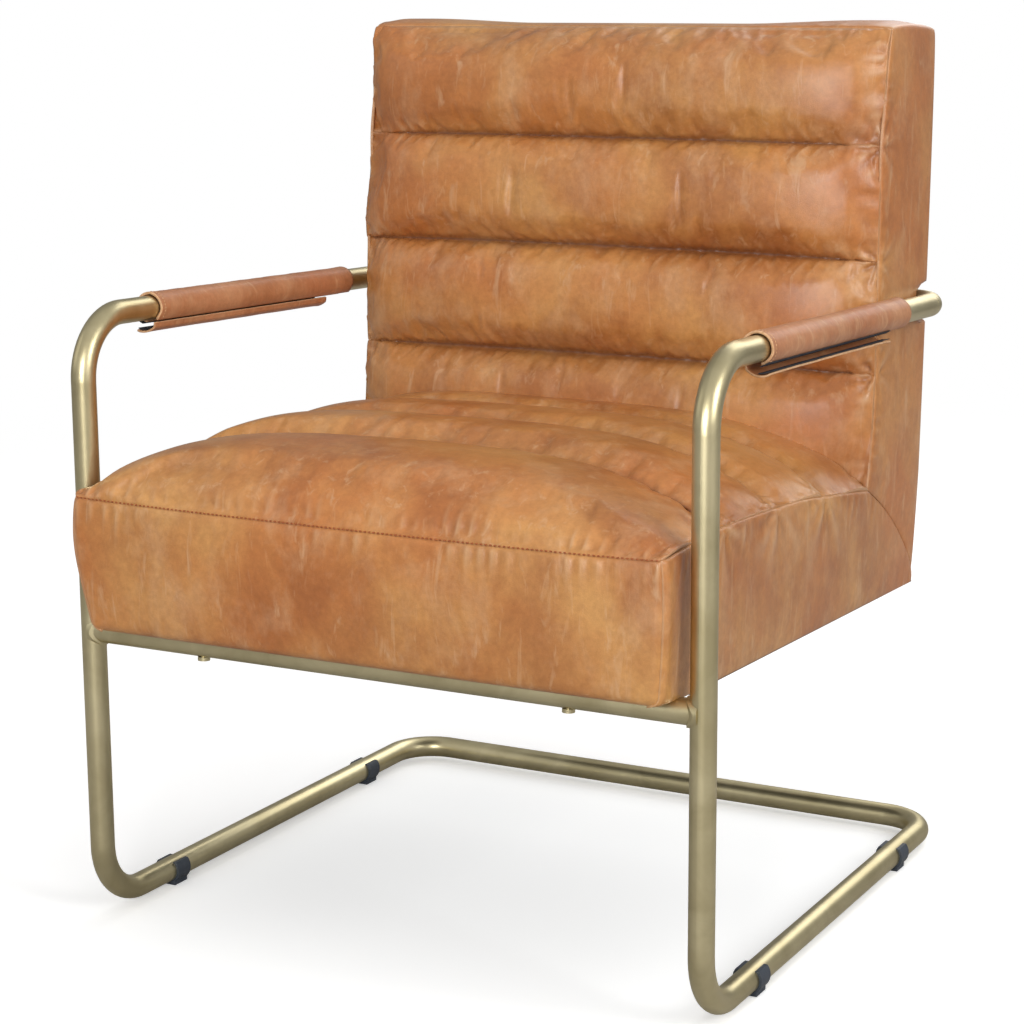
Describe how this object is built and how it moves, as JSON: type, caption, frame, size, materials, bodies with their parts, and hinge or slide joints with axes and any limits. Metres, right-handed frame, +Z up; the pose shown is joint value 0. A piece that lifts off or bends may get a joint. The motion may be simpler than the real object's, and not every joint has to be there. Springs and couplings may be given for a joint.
{
  "type": "upholstered armchair",
  "caption": "Low upholstered armchair: leather body with sewn rolls on a bent-tube cantilever frame with strap-wrapped arms.",
  "frame": {"origin": "on the floor, below the middle of the chair's bounding box", "axes": "+X to the chair's right as seen from in front, -Y to the front, +Z up"},
  "size_m": [0.6292, 0.6271, 0.8021],
  "materials": {
    "brass_tube": "satin",
    "zinc_steel": "satin",
    "dark_plastic": "satin",
    "plywood": "matte",
    "hardwood": "matte",
    "webbing": "matte",
    "foam": "matte",
    "dust_cloth": "matte",
    "leather": "satin",
    "wrap_leather": "satin",
    "hook_loop": "matte"
  },
  "bodies": {
    "chair": {"frame_tube_right": "brass_tube", "frame_tube_left": "brass_tube", "floor_bar_sleeve": "zinc_steel", "back_bar_sleeve": "zinc_steel", "seat_rail": "brass_tube", "seat_rail_weld_right": "brass_tube", "seat_rail_weld_left": "brass_tube", "glide_front_right": "dark_plastic", "glide_front_left": "dark_plastic", "glide_rear_right": "dark_plastic", "glide_rear_left": "dark_plastic", "ply_side_right": "plywood", "ply_side_left": "plywood", "seat_front_rail": "hardwood", "seat_middle_rail": "hardwood", "seat_rear_rail": "hardwood", "back_lower_rail": "hardwood", "back_bar_rail": "hardwood", "back_top_rail": "hardwood", "corner_block_right": "hardwood", "corner_block_left": "hardwood", "seat_webbing": "webbing", "back_webbing": "webbing", "seat_foam": "foam", "seat_pad": "foam", "back_foam": "foam", "back_pad": "foam", "seat_top_cover": "leather", "seat_front_cover": "leather", "seat_side_cover_right": "leather", "seat_side_cover_left": "leather", "back_front_cover": "leather", "back_side_cover_right": "leather", "back_side_cover_left": "leather", "back_top_cover": "leather", "back_rear_cover": "leather", "dust_cover": "dust_cloth", "seat_bolt_right": "zinc_steel", "seat_bolt_left": "zinc_steel", "seat_nut_right": "zinc_steel", "seat_nut_left": "zinc_steel", "back_bolt_right": "zinc_steel", "back_bolt_left": "zinc_steel", "back_nut_right": "zinc_steel", "back_nut_left": "zinc_steel"},
    "wrap_right": {"arm_wrap_right": "wrap_leather", "loop_strip_right": "hook_loop"},
    "flap_right": {"wrap_flap_right": "wrap_leather", "hook_strip_right": "hook_loop"},
    "wrap_left": {"arm_wrap_left": "wrap_leather", "loop_strip_left": "hook_loop"},
    "flap_left": {"wrap_flap_left": "wrap_leather", "hook_strip_left": "hook_loop"}
  },
  "joints": [
    {"name": "wrap_turn_right", "type": "hinge", "parent": "chair", "child": "wrap_right", "pos_m": [0.3, -0.27855, 0.5581], "axis": [0, 0.9997, -0.0257], "continuous": true},
    {"name": "flap_open_right", "type": "hinge", "parent": "wrap_right", "child": "flap_right", "pos_m": [0.29091, -0.27887, 0.5456], "axis": [0, 0.9997, -0.0257], "range_deg": [-20, 70]},
    {"name": "wrap_turn_left", "type": "hinge", "parent": "chair", "child": "wrap_left", "pos_m": [-0.3, -0.27855, 0.5581], "axis": [0, 0.9997, -0.0257], "continuous": true},
    {"name": "flap_open_left", "type": "hinge", "parent": "wrap_left", "child": "flap_left", "pos_m": [-0.29091, -0.27887, 0.5456], "axis": [0, -0.9997, 0.0257], "range_deg": [-20, 70]}
  ]
}
